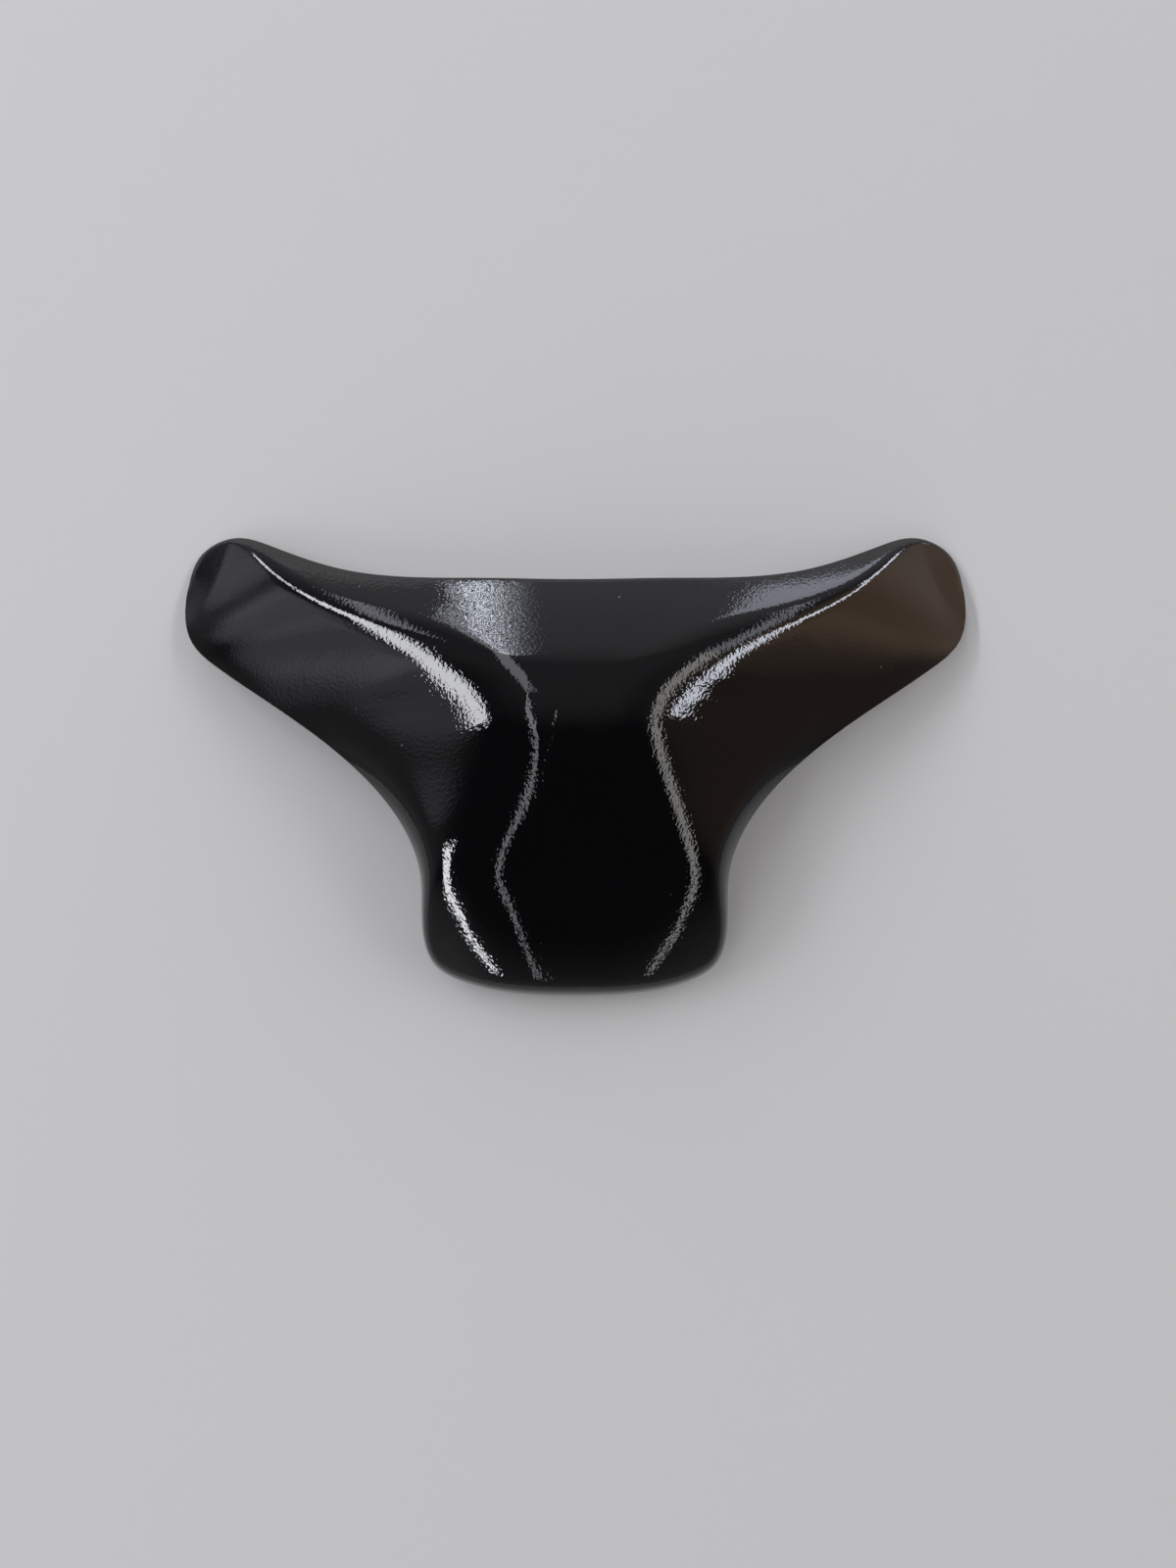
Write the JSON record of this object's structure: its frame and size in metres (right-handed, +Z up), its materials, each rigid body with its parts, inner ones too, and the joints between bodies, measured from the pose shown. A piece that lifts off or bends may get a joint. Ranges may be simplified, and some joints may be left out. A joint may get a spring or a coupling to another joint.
{
  "type": "motorcycle tank extender",
  "caption": "One-piece moulded plastic shell that carries a sports motorcycle's fuel tank back to the seat: a brow, a wing along each side and a stem, open underneath.",
  "frame": {"origin": "Bottom centre of the shell's bounding box, on the plane it lies on when it rests on its nose and its wing tips.", "axes": "+X to the rider's right, across the shell from wing tip to wing tip; +Y forwards, up the slope of the tank; +Z up, out of the tank."},
  "size_m": [0.2876, 0.1674, 0.0577],
  "materials": {
    "shell": "black ABS sheet, thermoformed, satin with a fine grain"
  },
  "bodies": {
    "root": {"tank_extender_shell": "shell"}
  },
  "joints": []
}
